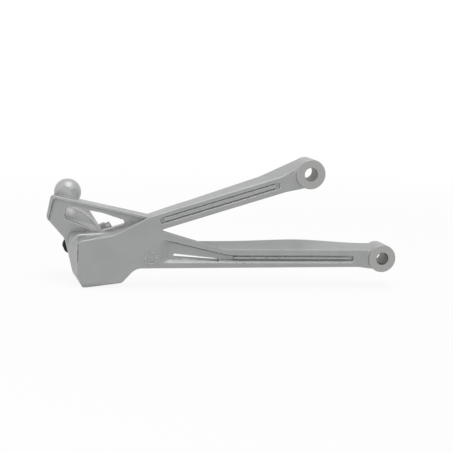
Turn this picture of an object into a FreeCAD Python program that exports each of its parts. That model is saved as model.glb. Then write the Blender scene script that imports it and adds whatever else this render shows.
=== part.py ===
import FreeCAD, Part
import math
import os
from FreeCAD import Placement, Rotation, Vector

# Frame of the part, in millimetres. X runs along the lower arm towards its eye, Y runs back
# from the flat front face of the arms, Z is up. The origin is on the axis of the lower eye.

# Eyes: the two round bosses that are bolted to the motorbike
lower_eye_d = 19.0
lower_bore_d = 8.4
upper_eye_d = 20.2
upper_bore_d = 9.0
upper_eye_x = -53.7
upper_eye_z = 57.4
eye_proud = 2.6
eye_back_proud = 1.4
eye_taper = 0.8
eye_edge = 0.7
eye_root_r = 1.7
washer_seat_d = 14.0
washer_seat_depth = 3.6

# Arms: the front outline shared by both arms, the junction and the pad
arm_depth = 15.0
arm_edge = 1.1
back_edge = 1.2
upper_arm_h = 11.2
upper_arm_drop = 1.7
upper_arm_angle = 17.45
upper_flare = 19.0
upper_crown = 100.0
upper_crown_sunk = 0.9
upper_crown_bite = 0.2
upper_crown_bend = 31.0
upper_crown_rise = 5.2
upper_crown_end = 9.5
upper_fall_near = 85.0
upper_fall_far = 128.0
upper_fall = 1.8
lower_flare = 16.0
flare_overlap = 1.0
lower_arm_h = 12.3
lower_arm_drop = 0.35
notch_x = -153.4
notch_z = 18.4
notch_r = 0.5
fork_toe_x = -110.5
fork_toe_r = 30.0
strip_fall = 0.25
strip_end_x = -106.0
crown_swells = (
    (-142.0, 2.75),
    (-114.0, 3.15),
    (-89.0, 3.7),
    (-57.0, 4.7),
    (-40.0, 3.85),
    (-18.0, 2.35),
    (0.0, 2.4),
)

# Grooves in the front of the arms, each with a low rib along its middle
upper_groove_w = 4.8
upper_groove_depth = 1.3
upper_groove_draft = 0.4
upper_groove_slope = 1.0
upper_groove_near = 21.6
upper_groove_far = 106.0
upper_groove_drop = 1.4
upper_rib_w = 2.0
upper_rib_sunk = 0.3
upper_rib_lift = 0.3
lower_groove_w = 5.4
lower_groove_depth = 2.2
lower_groove_draft = 0.4
lower_groove_slope = 2.2
lower_groove_near = 19.5
lower_groove_drop = 1.0
lower_rib_w = 0.8
lower_rib_sunk = 0.6
lower_rib_lift = 0.75
rib_gap = 3.4
pocket_toe_x = -106.4
pocket_x = -153.5
pocket_z = 12.6
pocket_ramp = 5.0
pocket_corner_r = 3.0
pocket_back_depth = 5.8
slit_left_x = -144.1
slit_left_top_z = 2.2
slit_left_low_z = -0.5
slit_right_x = -113.0
slit_right_top_z = -1.15
slit_right_low_z = -2.75

# Pad: the flat lower-left face, and the wedge of metal behind it
pad_left_x = -208.6
pad_top_z = 10.6
pad_bend_x = -184.5
pad_bend_z = 15.0
pad_crest_x = -160.0
pad_crest_z = 27.9
pad_heel_z = -13.0
pad_foot_x = -204.2
pad_foot_z = -20.8
pad_step_x = -178.3
pad_step_z = -17.5
pad_rise_x = -169.5
pad_rise_z = -7.7
pad_rise_r = 10.0
pad_corner_r = 3.5
wedge_lean_left = 0.2
wedge_lean_up = 0.127
wedge_toe_depth = 5.0
wedge_toe_z = -16.5
wedge_back_depth = 22.0
wedge_back_z = 0.6
pad_bead_y = 9.0
pad_bead_d = 3.6
pad_bead_lift = 0.4
pad_bead_low_z = 5.0
mark_x = -159.6
mark_z = -0.3
mark_d = 8.6
mark_w = 0.8
mark_proud = 0.4

# Plate: the upper-left wall with the window, running back from the junction
plate_hinge_x = -160.0
plate_hinge_y = 2.0
plate_angle = 20.8
plate_t = 7.5
plate_root_z = 27.05
plate_tip_w = 68.6
plate_tip_z = 37.08
plate_tip_r = 2.0
plate_left_w = 71.6
plate_left_z = 21.2
plate_left_r = 4.5
plate_knee_w = 58.6
plate_knee_z = 8.1
plate_low_w = 55.0
plate_low_z = -2.0
plate_corner_r = 3.0
plate_edge = 0.9
rim_w = 1.9
rim_proud = 1.1
rim_start_w = 0.5

# Window through the plate, and the scooped hollow behind its left half
window_corners = (
    (57.9, 30.2, 3.0),
    (59.6, 21.8, 3.0),
    (36.5, 13.9, 6.0),
    (14.2, 22.4, 1.8),
    (33.0, 27.2, 20.0),
)
window_floor = 2.6
scoop_inset = 9.6
scoop_z = -2.0
scoop_r = 32.0
scoop_depth = 2.4
scoop_floor_r = 2.2

# Clevis behind the plate, which carries the folding peg on a pivot bolt
pivot_inset = 10.7
pivot_back = 10.0
pivot_z = -0.8
pivot_tilt = 24.0
clevis_w = 24.6
ear_t = 6.2
ear_r = 8.5
ear_shoulder_y = -5.0
ear_shoulder_z = 20.0
clevis_top_z = 36.0
clevis_cover = 5.5
clevis_root = 25.0
clevis_edge = 1.0
cheek_lean = 9.5
left_cheek_lean = 18.0
slot_floor_y = -7.6
slot_top_z = 17.0
pivot_clearance = 0.2
head_clearance = 1.2

# Ball-shaped knob on the top of the clevis, with two flats
knob_d = 18.2
knob_inset = 11.1
knob_back = 4.8
knob_z = 37.5
knob_front_flat = 7.6
knob_side_flat = 8.4
knob_side_angle = 45.0
knob_neck_d = 12.0

# Pivot bolt with a domed head, and its lock nut
bolt_d = 6.0
bolt_head_d = 10.5
bolt_head_h = 3.3
bolt_socket_af = 4.0
bolt_socket_depth = 2.0
bolt_tip = 0.3
nut_af = 10.0
nut_hex_h = 5.0
nut_h = 8.0
nut_collar_d = 9.0
nut_chamfer = 0.6
insert_d = 7.6
insert_h = 2.0

OVERRUN = 5.0
TINY = 1e-6


def direction(degrees):
    """Unit vector in a flat drawing, turned from the first axis."""
    return math.cos(math.radians(degrees)), math.sin(math.radians(degrees))


def front_view(a, b):
    """A point of a drawing that is laid on the front face: a along X, b along Z."""
    return Vector(a, 0, b)


def side_view(a, b):
    """A point of a drawing that is seen along X: a along Y, b along Z."""
    return Vector(0, a, b)


def corner_arc(before, here, after, radius):
    """Start, middle and end of the arc that rounds the corner here between its neighbours."""
    to_last, to_next = (before - here).normalize(), (after - here).normalize()
    half = to_last.getAngle(to_next) / 2
    reach = radius / math.tan(half)
    inward = (to_last + to_next).normalize()
    middle = here + inward * (radius / math.sin(half) - radius)
    return here + to_last * reach, middle, here + to_next * reach


def outline(corners, to_space):
    """Closed wire through the corners (a, b, radius), each rounded by a tangent arc."""
    points = [Vector(a, b, 0) for a, b, _ in corners]
    count = len(corners)
    runs = []
    for i, (_, _, radius) in enumerate(corners):
        runs.append((*corner_arc(points[i - 1], points[i], points[(i + 1) % count], radius), radius))
    edges = []
    for i, (enter, middle, leave, radius) in enumerate(runs):
        if radius > 0:
            bend = [to_space(p.x, p.y) for p in (enter, middle, leave)]
            edges.append(Part.Arc(*bend).toShape())
        start, end = to_space(leave.x, leave.y), to_space(*runs[(i + 1) % count][0][:2])
        if start.distanceToPoint(end) > TINY:
            edges.append(Part.LineSegment(start, end).toShape())
    return Part.Wire(edges)


def prism(corners, to_space, start, sweep):
    """Solid that carries the rounded outline from the offset start along sweep."""
    face = Part.Face(outline(corners, to_space))
    face.translate(start)
    return face.extrude(sweep)


def round_edges(solid, radius, wanted):
    """The solid with every edge rounded whose corners all satisfy wanted."""
    edges = [e for e in solid.Edges if all(wanted(v.Point) for v in e.Vertexes)]
    return solid.makeFillet(radius, edges)


def at_depth(y):
    """Test for points that lie at the depth y."""
    return lambda point: abs(point.y - y) < TINY


def upper_arm_point(distance, rise):
    """A point of the upper arm: distance from the eye back along the arm, rise across it."""
    run, lift = direction(upper_arm_angle)
    return (
        upper_eye_x - distance * run - rise * lift,
        upper_eye_z - distance * lift + rise * run,
    )


def front_corners():
    """Corners of the one-piece front outline: arms, junction and pad."""
    upper_half = upper_arm_h / 2
    upper_wide = upper_eye_d / 2 - flare_overlap
    lower_top = lower_arm_h / 2 - lower_arm_drop
    lower_bottom = -lower_arm_h / 2 - lower_arm_drop
    lower_wide = lower_eye_d / 2 - flare_overlap
    soft = 4 * pad_corner_r
    return [
        (-lower_flare, lower_bottom, soft),
        (0, -lower_wide, 0),
        (0, lower_top, 0),
        (fork_toe_x, lower_top, fork_toe_r),
        (notch_x, notch_z, notch_r),
        (*upper_arm_point(upper_flare, -upper_arm_drop - upper_half), soft),
        (*upper_arm_point(0, -upper_wide), 0),
        (*upper_arm_point(0, upper_wide), 0),
        (*upper_arm_point(upper_flare, -upper_arm_drop + upper_half), soft),
        (pad_crest_x, pad_crest_z, soft),
        (pad_bend_x, pad_bend_z, soft),
        (pad_left_x, pad_top_z, pad_corner_r),
        (pad_left_x, pad_heel_z, pad_corner_r),
        (pad_foot_x, pad_foot_z, pad_corner_r),
        (pad_step_x, pad_step_z, pad_corner_r),
        (pad_rise_x, pad_rise_z, pad_rise_r),
    ]


def slab_end_x():
    """Where the back of the arms runs out into the back of the plate."""
    along, back = direction(plate_angle)
    plate_back_y = plate_hinge_y + plate_t / along
    return plate_hinge_x - (arm_depth - plate_back_y) * along / back


def arms():
    """Both arms, the junction and the front of the pad, as one slab with rounded edges."""
    slab = prism(front_corners(), front_view, Vector(0, 0, 0), Vector(0, arm_depth, 0))
    slab = round_edges(slab, arm_edge, at_depth(0))
    slab = round_edges(slab, back_edge, at_depth(arm_depth))
    left_part = Part.makeBox(
        slab_end_x() - pad_left_x + OVERRUN,
        arm_depth,
        pad_crest_z - pad_foot_z + 2 * OVERRUN,
        Vector(pad_left_x - OVERRUN, wedge_toe_depth, pad_foot_z - OVERRUN),
    )
    return slab.cut(left_part).cut(strip_draft()).cut(upper_arm_draft())


def strip_draft():
    """Cutter that lets the top of the strip between the fork and the notch fall to the back."""
    back = arm_depth + OVERRUN
    fall = strip_fall * (back - arm_edge)
    corners = [
        (arm_edge, notch_z, 0),
        (back, notch_z, 0),
        (back, notch_z - fall, 0),
    ]
    toe_z = lower_arm_h / 2 - lower_arm_drop
    share = (strip_end_x - notch_x) / (fork_toe_x - notch_x)
    sweep = Vector(strip_end_x - notch_x, 0, (toe_z - notch_z) * share)
    return prism(corners, side_view, Vector(notch_x, 0, 0), sweep)


def upper_arm_loft(sections):
    """Solid between outlines in the upper arm's own drawing, each given with its depth."""
    wires = []
    for depth, points in sections:
        wire = outline([(*upper_arm_point(*point), 0) for point in points], front_view)
        wire.translate(Vector(0, depth, 0))
        wires.append(wire)
    return Part.makeLoft(wires, True, True)


def upper_arm_draft():
    """Cutter that lets the top of the upper arm fall to the back, more and more towards the junction."""
    low = upper_arm_h / 2 - upper_arm_drop
    near, far = upper_fall_near, upper_fall_far
    top = low + OVERRUN
    back = arm_depth + OVERRUN
    fall = upper_fall * (back - arm_edge) / (arm_depth - arm_edge)
    return upper_arm_loft(
        (
            (arm_edge, ((near, low), (far, low), (far, top), (near, top))),
            (back, ((near, low), (far, low - fall), (far, top), (near, top))),
        )
    )


def upper_arm_crown():
    """The top of the upper arm near its eye, which is higher at the back than in front."""
    low = upper_arm_h / 2 - upper_arm_drop
    wide = upper_eye_d / 2 - flare_overlap
    return upper_arm_loft(
        (
            (
                arm_edge,
                (
                    (upper_crown, 0),
                    (upper_crown, low - upper_crown_bite),
                    (upper_flare, low - upper_crown_bite),
                    (0, wide),
                    (0, 0),
                ),
            ),
            (
                arm_depth,
                (
                    (upper_crown, 0),
                    (upper_crown, low - upper_crown_sunk),
                    (upper_crown_bend, upper_crown_rise),
                    (0, upper_crown_end),
                    (0, 0),
                ),
            ),
        )
    )


def lower_arm_crown():
    """The sloping top of the lower arm, which rises from the front edge to the back."""
    top = lower_arm_h / 2 - lower_arm_drop
    sections = []
    for x, swell in crown_swells:
        corners = [
            (arm_edge, top, 0),
            (arm_depth - arm_edge, top + swell, arm_edge),
            (arm_depth, top - lower_groove_w, 0),
            (arm_edge, top - lower_groove_w, 0),
        ]
        section = outline(corners, side_view)
        section.translate(Vector(x, 0, 0))
        sections.append(section)
    return Part.makeLoft(sections, True, False)


def eye_depth():
    """Length of an eye, which stands proud of the arm at both ends."""
    return eye_proud + arm_depth + eye_back_proud


def eye(x, z, diameter):
    """A round boss, proud of the arm in front and tapered towards its back."""
    front_r = diameter / 2
    start = Vector(x, -eye_proud, z)
    boss = Part.makeCone(front_r, front_r - eye_taper, eye_depth(), start, Vector(0, 1, 0))
    rims = [e for e in boss.Edges if len(e.Vertexes) == 1]
    return boss.makeFillet(eye_edge, rims)


def arms_with_eyes():
    """The arms and both eyes, with a small fillet round the front of each eye."""
    body = arms().fuse(eye(0, 0, lower_eye_d)).fuse(eye(upper_eye_x, upper_eye_z, upper_eye_d))
    roots = [
        e for e in body.Edges
        if isinstance(e.Curve, Part.Circle)
        and e.Curve.Radius > upper_bore_d
        and all(at_depth(0)(v.Point) for v in e.Vertexes)
        and abs(e.CenterOfMass.y) < TINY
    ]
    return body.makeFillet(eye_root_r, roots)


def bore(x, z, diameter):
    """The through hole of an eye."""
    start = Vector(x, -eye_proud - OVERRUN, z)
    return Part.makeCylinder(diameter / 2, eye_depth() + 2 * OVERRUN, start, Vector(0, 1, 0))


def washer_seat():
    """Cutter for the washer's seat in the back of the upper eye."""
    start = Vector(upper_eye_x, eye_depth() - eye_proud - washer_seat_depth, upper_eye_z)
    return Part.makeCylinder(washer_seat_d / 2, washer_seat_depth + OVERRUN, start, Vector(0, 1, 0))


def inset(corners, distance):
    """The corners of an outline whose sides have all moved inwards by distance."""
    count = len(corners)
    points = [Vector(a, b, 0) for a, b, _ in corners]
    area = sum(points[i - 1].cross(points[i]).z for i in range(count))
    inner = []
    for i in range(count):
        before = (points[i] - points[i - 1]).normalize()
        after = (points[(i + 1) % count] - points[i]).normalize()
        turn = before.cross(after).z
        side = math.copysign(1, area)
        normal = Vector(-before.y, before.x, 0) * side
        next_normal = Vector(-after.y, after.x, 0) * side
        shift = (normal + next_normal) * (distance / (1 + normal.dot(next_normal)))
        radius = corners[i][2] - math.copysign(distance, turn * area)
        inner.append((points[i].x + shift.x, points[i].y + shift.y, radius))
    return inner


def drafted(mouth, draft, slope):
    """The floor of a hollow: drafted sides, and a lower side with a wider slope."""
    low = min(z for _, z, _ in mouth)
    floor = []
    for (x, z, radius), (_, mouth_z, _) in zip(inset(mouth, draft), mouth):
        lift = slope - draft if mouth_z == low else 0
        floor.append((x, z + lift, radius - (slope - draft) / 2))
    return floor


def recess(mouth, floor, depth):
    """Cutter for a hollow in the front face, from the corners of its mouth and of its floor."""
    outside = [(2 * a - c, 2 * b - d, 2 * r - s) for (a, b, r), (c, d, s) in zip(mouth, floor)]
    front, rear = outline(outside, front_view), outline(floor, front_view)
    front.translate(Vector(0, -depth, 0))
    rear.translate(Vector(0, depth, 0))
    return Part.makeLoft([front, rear], True, True)


def groove_corners(left, right, middle):
    """Corners of a straight groove with round ends."""
    half = upper_groove_w / 2
    end_r = half - upper_groove_draft
    return [
        (left, middle - half, end_r),
        (right, middle - half, end_r),
        (right, middle + half, end_r),
        (left, middle + half, end_r),
    ]


def groove_rib(left, right, middle, width, sunk):
    """The low rib along a groove, short of both its ends."""
    return Part.makeBox(
        right - left - 2 * rib_gap,
        arm_depth,
        width,
        Vector(left + rib_gap, sunk, middle - width / 2),
    )


def upper_groove():
    """Cutter for the upper arm's groove, which leaves its middle rib standing."""
    near, far = -upper_groove_near, -upper_groove_far
    mouth = groove_corners(far, near, -upper_groove_drop)
    floor = drafted(mouth, upper_groove_draft, upper_groove_slope)
    rib = groove_rib(far, near, upper_rib_lift - upper_groove_drop, upper_rib_w, upper_rib_sunk)
    cutter = recess(mouth, floor, upper_groove_depth).cut(rib)
    cutter.Placement = Placement(
        Vector(upper_eye_x, 0, upper_eye_z), Rotation(Vector(0, 1, 0), -upper_arm_angle)
    )
    return cutter


def pocket_corners():
    """Corners of the lower arm's groove, which widens into a pocket below the fork."""
    half = lower_groove_w / 2
    end_r = half - lower_groove_draft / 2
    low, high = -lower_groove_drop - half, -lower_groove_drop + half
    return [
        (-lower_groove_near, low, end_r),
        (-lower_groove_near, high, end_r),
        (pocket_toe_x, high, fork_toe_r),
        (pocket_x, pocket_z, pocket_corner_r),
        (pocket_x, low, pocket_corner_r),
    ]


def pocket_floor():
    """Corners of the floor of the groove and pocket, with a long ramp up to the left end."""
    floor = drafted(pocket_corners(), lower_groove_draft, lower_groove_slope)
    *right_end, toe, top, bottom = floor
    fall = (top[1] - toe[1]) / (toe[0] - top[0]) * pocket_ramp
    ramped_top = (top[0] + pocket_ramp, top[1] - fall, top[2])
    ramped_bottom = (bottom[0] + pocket_ramp, *bottom[1:])
    return [*right_end, toe, ramped_top, ramped_bottom]


def lower_groove():
    """Cutter for the lower arm's groove and pocket, which leaves the groove's rib standing."""
    rib_z = lower_rib_lift - lower_groove_drop
    return recess(pocket_corners(), pocket_floor(), lower_groove_depth).cut(
        groove_rib(pocket_toe_x, -lower_groove_near, rib_z, lower_rib_w, lower_rib_sunk)
    )


def back_pocket():
    """Cutter for the pocket in the back of the fork, opposite the one in front."""
    half = lower_groove_w / 2
    low, high = -lower_groove_drop - half, -lower_groove_drop + half
    corners = [
        (fork_toe_x, low, 0),
        (fork_toe_x, high, 0),
        (pocket_x + pocket_ramp, pocket_z - half, pocket_corner_r),
        (pocket_x + pocket_ramp, low, pocket_corner_r),
    ]
    start = Vector(0, arm_depth - pocket_back_depth, 0)
    return prism(corners, front_view, start, Vector(0, pocket_back_depth + OVERRUN, 0))


def slit():
    """Cutter for the narrow slit through the floor of the pocket."""
    tip_r = (slit_right_top_z - slit_right_low_z) / 2 - upper_groove_draft / 2
    corners = [
        (slit_left_x, slit_left_low_z, tip_r),
        (slit_right_x, slit_right_low_z, tip_r),
        (slit_right_x, slit_right_top_z, tip_r),
        (slit_left_x, slit_left_top_z, tip_r),
    ]
    return prism(corners, front_view, Vector(0, 0, 0), Vector(0, arm_depth, 0))


def plate_view(w, z):
    """A point of the plate's own drawing: w along the plate from its hinge line, z up."""
    along, back = direction(plate_angle)
    return Vector(plate_hinge_x - along * w, plate_hinge_y + back * w, z)


def plate_back():
    """Unit vector from the plate's front face to its back."""
    along, back = direction(plate_angle)
    return Vector(back, along, 0)


def behind_plate(inset_w, depth, z):
    """A point behind the plate: inset_w from its left end, depth from its back face, z up."""
    return plate_view(plate_left_w - inset_w, z) + plate_back() * (plate_t + depth)


def plate_corners():
    """Corners of the plate's outline."""
    return [
        (0, plate_root_z, 0),
        (plate_tip_w, plate_tip_z, plate_tip_r),
        (plate_left_w, plate_left_z, plate_left_r),
        (plate_knee_w, plate_knee_z, 2 * plate_corner_r),
        (plate_low_w, plate_low_z, plate_corner_r),
        (0, plate_low_z, 0),
    ]


def plate():
    """The flat wall of the plate, with a raised rim along its top and left edges."""
    front = plate_back() * -rim_proud
    wall = prism(plate_corners(), plate_view, front, plate_back() * (plate_t + rim_proud))
    wall = wall.makeFillet(plate_edge, flat_edges(wall, front) + flat_edges(wall, plate_back() * plate_t))
    inner_top = plate_root_z + (plate_tip_z - plate_root_z) * rim_start_w / plate_tip_w
    field_corners = [
        (rim_start_w, plate_tip_z + OVERRUN, 0),
        (rim_start_w, inner_top - rim_w, 0),
        (plate_tip_w - rim_w, plate_tip_z - rim_w, plate_corner_r),
        (plate_left_w - rim_w, plate_left_z, plate_left_r),
        (plate_left_w + OVERRUN, plate_low_z - OVERRUN, 0),
        (-OVERRUN, plate_low_z - OVERRUN, 0),
        (-OVERRUN, plate_tip_z + OVERRUN, 0),
    ]
    field = prism(field_corners, plate_view, front * 2, plate_back() * (2 * rim_proud))
    return wall.cut(field)


def flat_edges(solid, offset):
    """The plate's edges that lie in its own plane, moved back by the given offset."""
    level = (plate_view(0, 0) + offset).dot(plate_back())
    return [
        e for e in solid.Edges
        if all(abs(v.Point.dot(plate_back()) - level) < TINY for v in e.Vertexes)
    ]


def leaned(x, z, depth):
    """Where a point of the pad's outline has moved to at a depth behind the pad's edge."""
    lean = depth * (pad_crest_x - x) / (pad_crest_x - pad_left_x)
    return x - wedge_lean_left * lean, z + wedge_lean_up * lean


def pad_bead():
    """The rounded bead behind the pad's top left corner, which sinks into the metal at both ends."""
    right_x, right_z = leaned(pad_bend_x, pad_bend_z, pad_bead_y - arm_edge)
    left_x, top_z = leaned(pad_left_x, pad_top_z, pad_bead_y - arm_edge)
    start = Vector(right_x, pad_bead_y, right_z - pad_bead_d / 2)
    corner = Vector(left_x, pad_bead_y, top_z + pad_bead_lift)
    end = Vector(left_x + pad_bead_d / 2, pad_bead_y, pad_bead_low_z)
    enter, middle, leave = corner_arc(start, corner, end, pad_corner_r)
    path = Part.Wire(
        [
            Part.LineSegment(start, enter).toShape(),
            Part.Arc(enter, middle, leave).toShape(),
            Part.LineSegment(leave, end).toShape(),
        ]
    )
    section = Part.Wire(Part.makeCircle(pad_bead_d / 2, start, enter - start))
    return path.makePipeShell([section], True, False)


def mark():
    """The plain raised ring on the junction."""
    start, along = Vector(mark_x, -mark_proud, mark_z), Vector(0, 1, 0)
    disc = Part.makeCylinder(mark_d / 2, 2 * mark_proud, start, along)
    return disc.cut(Part.makeCylinder(mark_d / 2 - mark_w, 2 * mark_proud, start, along))


def wedge():
    """The metal between the pad and the plate, deep at the top and thin at the foot."""
    corners = [
        (pad_crest_x, pad_crest_z, 0),
        (pad_bend_x, pad_bend_z, 4 * pad_corner_r),
        (pad_left_x, pad_top_z, pad_corner_r),
        (pad_left_x, pad_heel_z, pad_corner_r),
        (pad_foot_x, pad_foot_z, pad_corner_r / 2),
        (pad_step_x, pad_step_z, pad_corner_r),
        (pad_rise_x, pad_rise_z, pad_rise_r / 2),
        (pad_crest_x, pad_rise_z, 0),
    ]
    reach = wedge_back_depth + plate_t
    leaning = [(*leaned(x, z, reach), radius) for x, z, radius in corners]
    front, rear = outline(corners, front_view), outline(leaning, front_view)
    front.translate(Vector(0, arm_edge, 0))
    rear.translate(Vector(0, arm_edge + reach, 0))
    body = Part.makeLoft([front, rear], True, True)
    slope = (wedge_back_z - wedge_toe_z) / (wedge_back_depth - wedge_toe_depth)
    kept = [
        (-OVERRUN, plate_tip_z, 0),
        (reach + OVERRUN, plate_tip_z, 0),
        (reach + OVERRUN, wedge_toe_z + slope * (reach + OVERRUN - wedge_toe_depth), 0),
        (-OVERRUN, wedge_toe_z - slope * (wedge_toe_depth + OVERRUN), 0),
    ]
    width = pad_crest_x - pad_left_x + 4 * OVERRUN
    start = Vector(pad_left_x - 3 * OVERRUN, 0, 0)
    body = body.common(prism(kept, side_view, start, Vector(width, 0, 0)))
    behind = prism(
        [
            (-2 * OVERRUN, plate_tip_z + OVERRUN, 0),
            (plate_left_w + OVERRUN, plate_tip_z + OVERRUN, 0),
            (plate_left_w + OVERRUN, pad_foot_z - OVERRUN, 0),
            (-2 * OVERRUN, pad_foot_z - OVERRUN, 0),
        ],
        plate_view,
        plate_back() * plate_t,
        plate_back() * reach,
    )
    return body.cut(behind)


def window():
    """Cutter for the window through the plate."""
    front = plate_back() * (-rim_proud - OVERRUN)
    return prism(window_corners, plate_view, front, plate_back() * (plate_t + rim_proud + 2 * OVERRUN))


def scoop():
    """Round hollow in the clevis, as far as it shows through the window."""
    start = behind_plate(scoop_inset, window_floor - plate_t - OVERRUN, scoop_z)
    dish = Part.makeCylinder(scoop_r, OVERRUN + scoop_depth, start, plate_back())
    floor_edge = max(
        (e for e in dish.Edges if len(e.Vertexes) == 1),
        key=lambda e: (e.Vertexes[0].Point - start).dot(plate_back()),
    )
    return dish.makeFillet(scoop_floor_r, [floor_edge]).common(window())


def on_pivot(shape):
    """Turns a shape drawn about its own X axis onto the pivot axis."""
    seat = behind_plate(pivot_inset, pivot_back, pivot_z)
    shape.Placement = Placement(seat, Rotation(Vector(0, 1, 0), -pivot_tilt))
    return shape


def clevis(front_depth):
    """The block behind the plate that becomes two ears, before its slot is cut."""
    corners = [
        (-clevis_root, -ear_r, 0),
        (ear_r, -ear_r, ear_r),
        (ear_r, ear_r, ear_r),
        (ear_shoulder_y, ear_shoulder_z, plate_corner_r),
        (ear_shoulder_y, clevis_top_z, plate_corner_r),
        (-clevis_root, clevis_top_z, 0),
    ]
    block = prism(corners, side_view, Vector(0, 0, 0), Vector(clevis_w, 0, 0))
    cheeks = [
        e for e in block.Edges
        if any(v.Point.y > -clevis_root + TINY for v in e.Vertexes)
        and len({round(v.Point.x) for v in e.Vertexes}) == 1
    ]
    block = on_pivot(block.makeFillet(clevis_edge, cheeks).cut(cheek_draft()))
    reach = plate_left_w + 4 * OVERRUN
    front = prism(
        [
            (-reach, reach, 0),
            (2 * reach, reach, 0),
            (2 * reach, -reach, 0),
            (-reach, -reach, 0),
        ],
        plate_view,
        plate_back() * front_depth,
        plate_back() * -reach,
    )
    rise = (plate_tip_z - plate_root_z) / plate_tip_w
    lid_z = plate_root_z - clevis_cover
    lid = prism(
        [
            (0, lid_z, 0),
            (2 * reach, lid_z + rise * 2 * reach, 0),
            (2 * reach, lid_z + 2 * reach, 0),
            (0, lid_z + 2 * reach, 0),
        ],
        plate_view,
        plate_back() * 0,
        plate_back() * reach,
    )
    return block.cut(front).cut(lid)


def cheek_draft():
    """Cutter that leans both sides of the clevis inwards above the ears."""
    rise = clevis_top_z - ear_r
    left_x = rise * math.tan(math.radians(left_cheek_lean))
    right_x = clevis_w - rise * math.tan(math.radians(cheek_lean))
    kept = [
        (0, ear_r, 0),
        (clevis_w, ear_r, 0),
        (right_x, clevis_top_z, 0),
        (left_x, clevis_top_z, 0),
    ]
    start = Vector(0, -clevis_root - OVERRUN, 0)
    sweep = Vector(0, clevis_root + ear_r + 2 * OVERRUN, 0)
    block = Part.makeBox(
        clevis_w + 2 * OVERRUN, sweep.y, rise, Vector(-OVERRUN, start.y, ear_r)
    )
    return block.cut(prism(kept, front_view, start, sweep))


def peg_slot():
    """Cutter for the slot between the ears, open to the back and below."""
    half = clevis_w / 2 - ear_t
    corners = [
        (slot_floor_y, -ear_r - OVERRUN, 0),
        (ear_r + OVERRUN, -ear_r - OVERRUN, 0),
        (ear_r + OVERRUN, slot_top_z, 0),
        (slot_floor_y, slot_top_z, plate_corner_r),
    ]
    return on_pivot(
        prism(corners, side_view, Vector(clevis_w / 2 - half, 0, 0), Vector(2 * half, 0, 0))
    )


def pivot_hole():
    """Cutter for the pivot bolt's hole, with room for its head outside the left ear."""
    along = Vector(1, 0, 0)
    hole = Part.makeCylinder(
        bolt_d / 2 + pivot_clearance, clevis_w + 2 * OVERRUN, Vector(-OVERRUN, 0, 0), along
    )
    seat_r = bolt_head_d / 2 + head_clearance
    seat = Part.makeCylinder(seat_r, 2 * OVERRUN, Vector(-2 * OVERRUN, 0, 0), along)
    return on_pivot(hole.fuse(seat))


def knob():
    """The ball-shaped knob on its neck, flat in front and on its right side."""
    centre = behind_plate(knob_inset, knob_back, knob_z)
    foot = pivot_point(clevis_w / 2, ear_shoulder_y - knob_neck_d / 2, slot_top_z)
    lift = centre - foot
    ball = Part.makeSphere(knob_d / 2, centre)
    ball = ball.fuse(Part.makeCylinder(knob_neck_d / 2, lift.Length, foot, lift))
    flats = ((-plate_angle, knob_front_flat), (knob_side_angle - plate_angle, knob_side_flat))
    for angle, distance in flats:
        side, front = math.sin(math.radians(angle)), math.cos(math.radians(angle))
        block = Part.makeBox(2 * knob_d, knob_d, 2 * knob_d, Vector(-knob_d, -knob_d, -knob_d))
        block.Placement = Placement(
            centre + Vector(side, -front, 0) * distance, Rotation(Vector(0, 0, 1), angle)
        )
        ball = ball.cut(block)
    return ball


def pivot_point(along, back, up):
    """A point given from the pivot: along the bolt, towards the back, and up across it."""
    run, lift = direction(pivot_tilt)
    step = Vector(along * run - up * lift, back, along * lift + up * run)
    return behind_plate(pivot_inset, pivot_back, pivot_z) + step


def bracket_casting():
    """The whole casting."""
    body = arms_with_eyes()
    block = clevis(plate_t - plate_edge)
    pieces = (upper_arm_crown(), lower_arm_crown(), wedge(), pad_bead(), plate(), block, knob(), mark())
    for piece in pieces:
        body = body.fuse(piece)
    cuts = (
        bore(0, 0, lower_bore_d),
        bore(upper_eye_x, upper_eye_z, upper_bore_d),
        washer_seat(),
        upper_groove(),
        lower_groove(),
        back_pocket(),
        slit(),
        window_opening(),
        scoop(),
        peg_slot(),
        pivot_hole(),
    )
    for cutter in cuts:
        body = body.cut(cutter)
    return body.removeSplitter()


def window_opening():
    """The window cutter, less the clevis that stands behind its left half."""
    return window().cut(clevis(window_floor))


def hexagon(across_flats, length, start):
    """A hexagonal bar along X."""
    radius = across_flats / math.sqrt(3)
    points = [(radius * a, radius * b, 0) for a, b in (direction(60 * i) for i in range(6))]
    return prism(points, side_view, Vector(start, 0, 0), Vector(length, 0, 0))


def pivot_bolt():
    """Screw with a domed head and a hexagon socket, which the peg turns on."""
    along = Vector(1, 0, 0)
    head_r = bolt_head_d / 2
    ball_r = (head_r ** 2 + bolt_head_h ** 2) / (2 * bolt_head_h)
    head = Part.makeSphere(ball_r, Vector(ball_r - bolt_head_h, 0, 0)).common(
        Part.makeCylinder(head_r, bolt_head_h, Vector(-bolt_head_h, 0, 0), along)
    )
    head = head.cut(hexagon(bolt_socket_af, bolt_socket_depth + OVERRUN, -bolt_head_h - OVERRUN))
    length = clevis_w + nut_h + bolt_tip
    shank = Part.makeCylinder(bolt_d / 2, length, Vector(0, 0, 0), along)
    return on_pivot(head.fuse(shank).removeSplitter())


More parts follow.
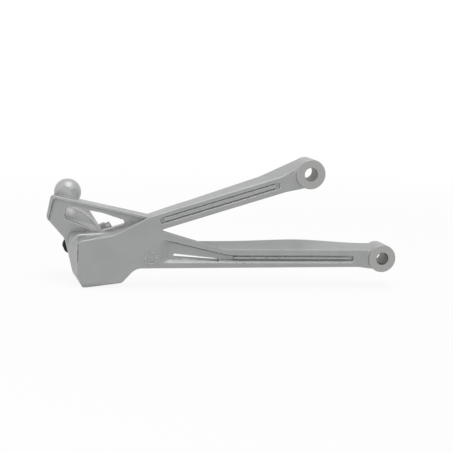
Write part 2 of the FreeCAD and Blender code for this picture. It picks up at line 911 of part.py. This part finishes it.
def lock_nut():
    """Hexagon nut whose round collar holds a nylon ring."""
    along = Vector(1, 0, 0)
    start = clevis_w
    hex_part = hexagon(nut_af, nut_hex_h, start)
    corner_r = nut_af / math.sqrt(3)
    blank = Part.makeCylinder(corner_r, nut_hex_h, Vector(start, 0, 0), along)
    rims = [e for e in blank.Edges if len(e.Vertexes) == 1]
    hex_part = hex_part.common(blank.makeChamfer(nut_chamfer, rims))
    collar = Part.makeCone(
        nut_collar_d / 2, insert_d / 2 + nut_chamfer, nut_h - nut_hex_h, Vector(start + nut_hex_h, 0, 0), along
    )
    hole = Part.makeCylinder(bolt_d / 2, nut_h, Vector(start, 0, 0), along)
    seat = Part.makeCylinder(insert_d / 2, insert_h, Vector(start + nut_h - insert_h, 0, 0), along)
    return on_pivot(hex_part.fuse(collar).cut(hole).cut(seat).removeSplitter())


def nut_insert():
    """Nylon ring in the collar of the lock nut, which grips the bolt's end."""
    along = Vector(1, 0, 0)
    start = Vector(clevis_w + nut_h - insert_h, 0, 0)
    ring = Part.makeCylinder(insert_d / 2, insert_h, start, along)
    hole = Part.makeCylinder(bolt_d / 2, insert_h, start, along)
    return on_pivot(ring.cut(hole))


os.makedirs("parts", exist_ok=True)
for make in (bracket_casting, pivot_bolt, lock_nut, nut_insert):
    shape = make()
    name = make.__name__
    print(name, "valid", shape.isValid(), "solids", len(shape.Solids), "volume", round(shape.Volume, 1))
    shape.exportStep("parts/" + name + ".step")
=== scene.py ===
import math

import bpy
import numpy as np
from mathutils import Matrix, Vector


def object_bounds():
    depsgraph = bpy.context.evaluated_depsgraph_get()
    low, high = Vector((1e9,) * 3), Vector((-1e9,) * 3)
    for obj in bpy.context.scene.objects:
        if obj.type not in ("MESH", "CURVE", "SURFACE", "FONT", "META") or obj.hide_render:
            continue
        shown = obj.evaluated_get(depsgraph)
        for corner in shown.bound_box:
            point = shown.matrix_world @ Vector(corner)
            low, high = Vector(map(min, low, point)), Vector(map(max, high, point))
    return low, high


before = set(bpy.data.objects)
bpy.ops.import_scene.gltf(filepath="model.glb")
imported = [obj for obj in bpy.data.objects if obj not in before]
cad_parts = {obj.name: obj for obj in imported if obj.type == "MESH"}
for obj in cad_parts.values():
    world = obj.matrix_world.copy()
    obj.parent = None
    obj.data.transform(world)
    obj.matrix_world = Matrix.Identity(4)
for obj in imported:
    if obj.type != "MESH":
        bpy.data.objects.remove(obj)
cad_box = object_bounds()


# Bracket casting: the whole bracket, cast in one piece from aluminium and blasted to a fine grain.
# It is sprayed satin silver, and its eyes are machined last.
# Its edges carry a painted highlight, its corners and creases painted shade, and some edges dark
# chips of worn paint.


class Wire:
    """One output in a material's node tree. Arithmetic on it adds Math nodes."""

    def __init__(self, tree, socket=None):
        self.tree, self.socket = tree, socket

    def node(self, kind, settings=None, inputs=None, output=0):
        """Adds any node: its type, its settings, then the values or links of its sockets."""
        made = self.tree.nodes.new(kind)
        for name, value in (settings or {}).items():
            setattr(made, name, value)
        for name, value in (inputs or {}).items():
            if isinstance(value, Wire):
                self.tree.links.new(value.socket, made.inputs[name])
            else:
                made.inputs[name].default_value = value
        return Wire(self.tree, made.outputs[output]) if made.outputs else None

    def maths(self, operation, first, second):
        return self.node("ShaderNodeMath", {"operation": operation}, {0: first, 1: second})

    def __add__(self, other):
        return self.maths("ADD", self, other)

    def __radd__(self, other):
        return self.maths("ADD", other, self)

    def __sub__(self, other):
        return self.maths("SUBTRACT", self, other)

    def __rsub__(self, other):
        return self.maths("SUBTRACT", other, self)

    def __mul__(self, other):
        return self.maths("MULTIPLY", self, other)

    def __rmul__(self, other):
        return self.maths("MULTIPLY", other, self)

    def rise(self, low, high):
        """0 below low, 1 above high, and a smooth step from one to the other."""
        return self.node(
            "ShaderNodeMapRange",
            {"interpolation_type": "SMOOTHSTEP"},
            {"Value": self, "From Min": low, "From Max": high},
        )

    def fall(self, low, high):
        """1 below low, 0 above high, and a smooth step from one to the other."""
        return 1 - self.rise(low, high)

    def spread(self, low, high):
        """A value from 0 to 1 carried on to the range from low to high."""
        return low + self * (high - low)


def new_material(name):
    """An empty material and the start of its node tree."""
    material = bpy.data.materials.new(name)
    material.use_nodes = True
    material.node_tree.nodes.clear()
    return material, Wire(material.node_tree)


def noise(tree, place, size, detail):
    """Cloudy noise from 0 to 1 whose blots are about size metres across."""
    return tree.node(
        "ShaderNodeTexNoise", None, {"Vector": place, "Scale": 1 / size, "Detail": detail}
    )


def mixed(tree, factor, under, over):
    """A colour that goes from under to over as factor goes from 0 to 1."""
    under_socket, over_socket, colour_output = 6, 7, 2
    return tree.node(
        "ShaderNodeMix",
        {"data_type": "RGBA"},
        {"Factor": factor, under_socket: under, over_socket: over},
        colour_output,
    )


def rounded(tree, radius, samples=6):
    """The way the surface faces, as if its edges were rounded to radius."""
    return tree.node("ShaderNodeBevel", {"samples": samples}, {"Radius": radius})


def hemmed_in(tree, reach):
    """0 in the open, and up to 1 where other surfaces stand closer than reach."""
    return 1 - tree.node("ShaderNodeAmbientOcclusion", {"samples": 8}, {"Distance": reach}, "AO")


def dot(tree, first, second):
    """The dot product of two vectors: how far the first one goes along the second."""
    return tree.node(
        "ShaderNodeVectorMath", {"operation": "DOT_PRODUCT"}, {0: first, 1: second}, "Value"
    )


def distance(tree, place, spot):
    """Metres from place to spot."""
    return tree.node(
        "ShaderNodeVectorMath", {"operation": "DISTANCE"}, {0: place, 1: spot}, "Value"
    )


def off_line(tree, place, spot, direction):
    """Metres from place to the line through spot: the length of (place - spot) x direction."""
    arm = tree.node("ShaderNodeVectorMath", {"operation": "SUBTRACT"}, {0: place, 1: spot})
    across = tree.node(
        "ShaderNodeVectorMath", {"operation": "CROSS_PRODUCT"}, {0: arm, 1: direction}
    )
    return tree.node("ShaderNodeVectorMath", {"operation": "LENGTH"}, {0: across}, "Value")


def coat(node_name, material, tree, finish):
    """Gives a CAD piece a material whose shader has the socket values in finish."""
    surface = tree.node("ShaderNodeBsdfPrincipled", None, finish)
    tree.node("ShaderNodeOutputMaterial", None, {"Surface": surface})
    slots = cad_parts[node_name].data.materials
    slots.clear()
    slots.append(material)


silver_paint, tree = new_material("silver_paint")
place = tree.node("ShaderNodeTexCoord", output="Object")
along, depth, height = (
    tree.node("ShaderNodeSeparateXYZ", None, {0: place}, axis) for axis in "XYZ"
)
face_normal = tree.node("ShaderNodeNewGeometry", output="Normal")
# The second radius finds the edges that get a painted highlight and dark chips.
edge_r, highlight_and_wear_r = 0.0005, 0.001
round_normal = rounded(tree, edge_r)
bend = 1 - dot(tree, face_normal, rounded(tree, highlight_and_wear_r, samples=8))
# The two reaches find the corners and creases that get painted shade.
corner_reach, crack_reach = 0.005, 0.0012
corner = hemmed_in(tree, corner_reach)
crack = hemmed_in(tree, crack_reach)
grain = noise(tree, place, size=0.0007, detail=3)
orange_peel = noise(tree, place, size=0.003, detail=2)
patchy = noise(tree, place, size=0.0035, detail=3).rise(0.3, 0.7)

# The silver paint is sprayed a little unevenly.
thin_coat, full_coat = (0.378, 0.386, 0.383, 1), (0.405, 0.413, 0.41, 1)
cloud = noise(tree, place, size=0.018, detail=4).rise(0.3, 0.7)
colour = mixed(tree, cloud, thin_coat, full_coat)

# The scoop behind the plate's face is painted paler: painted light that lifts the shade in the
# recess.
scoop_painted_light = (0.47, 0.478, 0.474, 1)
plate_rear, plate_face = (0.355, 0.935, 0), -0.0549
scoop_wall = (0.0005, 0.0018)
scoop_middle, scoop_reach = (-0.203, 0.021, 0.025), (0.016, 0.024)
sunk = dot(tree, place, plate_rear) - plate_face
in_scoop = sunk.rise(*scoop_wall) * distance(tree, place, scoop_middle).fall(*scoop_reach)
outside = 1 - in_scoop
colour = mixed(tree, in_scoop, colour, scoop_painted_light)

# The ball knob is painted lighter, most of all on its two flats: painted light for the brighter light
# it catches.
knob_painted_light, knob_flat_painted_light = (0.445, 0.453, 0.449, 1), (0.5, 0.508, 0.504, 1)
knob_middle, knob_r = (-0.2122, 0.035, 0.0375), 0.0091
knob_margin, flat_margin = (0.0002, 0.0008), (-0.0005, -0.00015)
past_ball = distance(tree, place, knob_middle) - knob_r
colour = mixed(tree, past_ball.fall(*knob_margin), colour, knob_painted_light)
colour = mixed(tree, past_ball.fall(*flat_margin), colour, knob_flat_painted_light)

# Corners are darkened with painted shade, with less of it on the arms.
corner_shade_tint = (0.12, 0.122, 0.12, 1)
arms_x, arms_less_shade = (-0.158, -0.145), 0.8
on_arms = along.rise(*arms_x)
shade_zone = outside * (1 - on_arms * arms_less_shade)
corner_shade = shade_zone * corner.rise(0.06, 0.28) * patchy.spread(0.2, 0.45)
colour = mixed(tree, corner_shade, colour, corner_shade_tint)

# A painted shadow runs as a dark line along the pocket between the arms, on the front only.
pocket_shadow_tint, pocket_shadow_strength = (0.05, 0.05, 0.049, 1), 0.9
pocket_right_x, pocket_top_z, pocket_floor_y = (-0.105, -0.0985), (0.014, 0.016), (0.003, 0.004)
in_fork = on_arms * along.fall(*pocket_right_x) * height.fall(*pocket_top_z)
pocket_shadow = in_fork * crack.rise(0.06, 0.3) * depth.fall(*pocket_floor_y)
colour = mixed(tree, pocket_shadow * pocket_shadow_strength, colour, pocket_shadow_tint)

# The sharpest corners are darkened further with painted shade.
crease_shade_tint = (0.07, 0.07, 0.068, 1)
crease_shade = shade_zone * crack.rise(0.3, 0.65) * patchy.spread(0.05, 0.3)
colour = mixed(tree, crease_shade, colour, crease_shade_tint)

# Outer edges carry a painted highlight, and dark chips of worn paint lie beside them.
edge_highlight_tint, chip_tint, chip_strength = (0.74, 0.75, 0.745, 1), (0.1, 0.1, 0.098, 1), 0.6
edge = bend.rise(0.01, 0.12) * crack.fall(0.15, 0.35)
colour = mixed(tree, edge * patchy.spread(0.65, 0.95), colour, edge_highlight_tint)
speck = noise(tree, place, size=0.0022, detail=3).rise(0.56, 0.68)
chips = outside * bend.rise(0.002, 0.03) * speck
colour = mixed(tree, chips * chip_strength, colour, chip_tint)

# The scoop's lip carries a painted highlight, and its lower facet and its left end are painted
# lighter as painted light.
lip_highlight, facet_painted_light = (0.93, 0.93, 0.92, 1), (0.68, 0.685, 0.68, 1)
scoop_end_painted_light = (0.98, 0.98, 0.97, 1)
scoop_axis, scoop_r, lip = (-0.21796, 0.02402, -0.002), 0.032, 0.0008
from_axis = off_line(tree, place, scoop_axis, plate_rear)
rim = from_axis.rise(scoop_r - 2 * lip, scoop_r - lip) * from_axis.fall(scoop_r, scoop_r + lip)
colour = mixed(tree, rim * in_scoop, colour, lip_highlight)
scoop_floor = (0.0022, 0.003)
deep = sunk.rise(*scoop_floor)
facet_x, facet_z, facet_slope, facet_blur = -0.2117, 0.0216, -0.238, (-0.0003, 0.0006)
facet_top = facet_z + facet_slope * (along - facet_x)
facet = (facet_top - height).rise(*facet_blur) * deep * in_scoop
colour = mixed(tree, facet, colour, facet_painted_light)
scoop_end, end_reach = (-0.2136, 0.0274, 0.0276), (0.001, 0.0078)
colour = mixed(tree, distance(tree, place, scoop_end).fall(*end_reach) * deep, colour, scoop_end_painted_light)

# A dark line runs down the pad's left edge.
dark_line_tint = (0.06, 0.06, 0.06, 1)
pad_edge, upright_axis, dark_line_r = (-0.2085, 0.0002, 0), (0, 0, 1), (0.0004, 0.0009)
dark_line_foot_z, dark_line_top_z = (-0.0045, -0.0015), (0.0085, 0.0105)
dark_line_span = height.rise(*dark_line_foot_z) * height.fall(*dark_line_top_z)
on_pad_edge = off_line(tree, place, pad_edge, upright_axis).fall(*dark_line_r)
colour = mixed(tree, on_pad_edge * dark_line_span * patchy.spread(0.45, 0.9), colour, dark_line_tint)

# The eyes are faced at both ends and reamed, and their bores are darkened with painted shade: each
# has its middle, bore radius and face radius.
faced_metal, bore_shade = (0.42, 0.424, 0.41, 1), (0.19, 0.19, 0.185, 1)
eyes = (((0, 0, 0), 0.0042, 0.0095), ((-0.0537, 0, 0.0574), 0.0045, 0.0101))
bore_axis, eye_front_y, eye_back_y = (0, 1, 0), (-0.0024, -0.0021), (0.0159, 0.0162)
face_margin, bore_margin = (0, 0.0003), (0.0001, 0.0003)
eye_ends = depth.fall(*eye_front_y) + depth.rise(*eye_back_y)
for eye, bore_r, eye_r in eyes:
    off_axis = off_line(tree, place, eye, bore_axis)
    faced = eye_ends * (off_axis - eye_r).fall(*face_margin)
    colour = mixed(tree, faced, colour, faced_metal)
    colour = mixed(tree, (off_axis - bore_r).fall(*bore_margin), colour, bore_shade)

# The cast grain shows through the paint, which has an orange-peel skin of its own.
skin_depth, skin_strength, peel_share = 0.0001, 0.5, 2
skin = tree.node(
    "ShaderNodeBump",
    None,
    {
        "Height": grain + orange_peel * peel_share,
        "Distance": skin_depth,
        "Strength": skin_strength,
        "Normal": round_normal,
    },
)
satin = {
    "Base Color": colour,
    "Metallic": 0.5,
    "Roughness": grain.spread(0.36, 0.46),
    "Normal": skin,
}
coat("bracket_casting", silver_paint, tree, satin)


# Pivot bolt: a domed socket-head screw of steel, blackened in an oxide bath.
# It passes through both ears of the clevis and carries the folding peg.

black_oxide, tree = new_material("black_oxide")
place = tree.node("ShaderNodeTexCoord", output="Object")
deep_black, hazy_black = (0.006, 0.006, 0.0065, 1), (0.016, 0.016, 0.0155, 1)
bolt_edge_r = 0.0003
haze = noise(tree, place, size=0.0025, detail=3)
oxide = {
    "Base Color": mixed(tree, haze.rise(0.35, 0.75), deep_black, hazy_black),
    "Roughness": haze.spread(0.38, 0.58),
    "Specular IOR Level": 0.15,
    "Normal": rounded(tree, bolt_edge_r),
}
coat("pivot_bolt", black_oxide, tree, oxide)


# Lock nut: a hexagon nut of steel, cold-formed and dull zinc plated.
# It is screwed on the bolt's end against the right ear.

zinc_plate, tree = new_material("zinc_plate")
place = tree.node("ShaderNodeTexCoord", output="Object")
dull_zinc, clear_zinc = (0.225, 0.225, 0.222, 1), (0.275, 0.275, 0.271, 1)
nut_edge_r = 0.0003
spangle = noise(tree, place, size=0.0012, detail=2)
plating = {
    "Base Color": mixed(tree, spangle.rise(0.3, 0.7), dull_zinc, clear_zinc),
    "Metallic": 0.85,
    "Roughness": spangle.spread(0.32, 0.52),
    "Normal": rounded(tree, nut_edge_r),
}
coat("lock_nut", zinc_plate, tree, plating)


# Nut insert: a ring of natural nylon, pressed into the nut's collar.
# Its hole is cut to the thread's shape as the bolt goes in.

nylon, tree = new_material("nylon")
place = tree.node("ShaderNodeTexCoord", output="Object")
cloudy_nylon, clear_nylon = (0.6, 0.6, 0.56, 1), (0.72, 0.72, 0.68, 1)
milky = noise(tree, place, size=0.002, detail=2)
moulded = {
    "Base Color": mixed(tree, milky, cloudy_nylon, clear_nylon),
    "Roughness": milky.spread(0.35, 0.5),
}
coat("nut_insert", nylon, tree, moulded)


# Studio: a white floor just under the foot of the bracket's pad, inside an even white tent.
# One large soft box hangs overhead and a weaker one stands at the left.


def in_sight(tree):
    """1 for rays from the camera, a mirror or glass, which see the white itself, and 0 for others."""
    rays = ("Is Camera Ray", "Is Glossy Ray", "Is Transmission Ray")
    direct, mirrored, through_glass = (
        tree.node("ShaderNodeLightPath", output=ray) for ray in rays
    )
    return tree.node("ShaderNodeClamp", None, {0: direct + mirrored + through_glass})


floor_gap, floor_half = 0.0003, 4.0
floor_z = cad_box[0].z - floor_gap
floor_corners = np.array([(-1, -1), (1, -1), (1, 1), (-1, 1)]) * floor_half
floor_mesh = bpy.data.meshes.new("floor")
floor_mesh.from_pydata([(x, y, floor_z) for x, y in floor_corners], [], [(0, 1, 2, 3)])
floor = bpy.data.objects.new("floor", floor_mesh)
bpy.context.scene.collection.objects.link(floor)

# Near the bracket the floor keeps a tenth of its shadow, and further out it is plain white.
white_floor, tree = new_material("white_floor")
white, off_white = (1, 1, 1, 1), (0.94, 0.94, 0.94, 1)
shadow_reach, near_glow = (0.25, 0.6), 0.9
floor_paint = tree.node("ShaderNodeBsdfDiffuse", None, {"Color": off_white})
floor_glow = tree.node("ShaderNodeEmission", None, {"Color": white, "Strength": 1})
place = tree.node("ShaderNodeTexCoord", output="Object")
off_middle = distance(tree, place, (0, 0, 0))
washed_out = in_sight(tree) * off_middle.rise(*shadow_reach).spread(near_glow, 1)
surface = tree.node("ShaderNodeMixShader", None, {0: washed_out, 1: floor_paint, 2: floor_glow})
tree.node("ShaderNodeOutputMaterial", None, {"Surface": surface})
floor_mesh.materials.append(white_floor)

tent_light = 0.5
tent = bpy.data.worlds.new("tent")
tent.use_nodes = True
tent.node_tree.nodes.clear()
tree = Wire(tent.node_tree)
brightness = in_sight(tree).spread(tent_light, 1)
backdrop = tree.node("ShaderNodeBackground", None, {"Color": white, "Strength": brightness})
tree.node("ShaderNodeOutputWorld", None, {"Surface": backdrop})
bpy.context.scene.world = tent


def soft_box(name, spot, aim, width, watts):
    """A square area lamp at spot that faces aim."""
    lamp = bpy.data.lights.new(name, "AREA")
    lamp.size, lamp.energy = width, watts
    holder = bpy.data.objects.new(name, lamp)
    holder.location = spot
    holder.rotation_euler = (Vector(aim) - Vector(spot)).to_track_quat("-Z", "Y").to_euler()
    bpy.context.scene.collection.objects.link(holder)


bracket_middle = (-0.11, 0.015, 0.02)
soft_box("overhead", spot=(-0.1, -0.12, 1.0), aim=bracket_middle, width=0.7, watts=4.3)
soft_box("left_side", spot=(-1.0, -0.2, 0.35), aim=bracket_middle, width=0.8, watts=1.0)


# Camera: a long lens a metre away, a little left of and above the bracket,
# and turned slightly about its own axis.

azimuth, elevation, roll = (math.radians(degrees) for degrees in (-12.5, 10.5, 2.701))
target, stand_off = Vector((-0.10981, 0, 0.02157)), 1.0
focal_px, frame_px, sensor_mm = 1500, 452, 36
back = Vector(
    (
        math.sin(azimuth) * math.cos(elevation),
        -math.cos(azimuth) * math.cos(elevation),
        math.sin(elevation),
    )
)
level = Vector((math.cos(azimuth), math.sin(azimuth), 0))
upright = back.cross(level)
right = level * math.cos(roll) + upright * math.sin(roll)
up = upright * math.cos(roll) - level * math.sin(roll)
lens = bpy.data.cameras.new("camera")
lens.sensor_width = sensor_mm
lens.lens = focal_px / frame_px * sensor_mm
camera = bpy.data.objects.new("camera", lens)
turn = Matrix((right, up, back)).transposed()
camera.matrix_world = Matrix.Translation(target + back * stand_off) @ turn.to_4x4()
bpy.context.scene.collection.objects.link(camera)
bpy.context.scene.camera = camera
bpy.context.scene.view_settings.view_transform = "Standard"
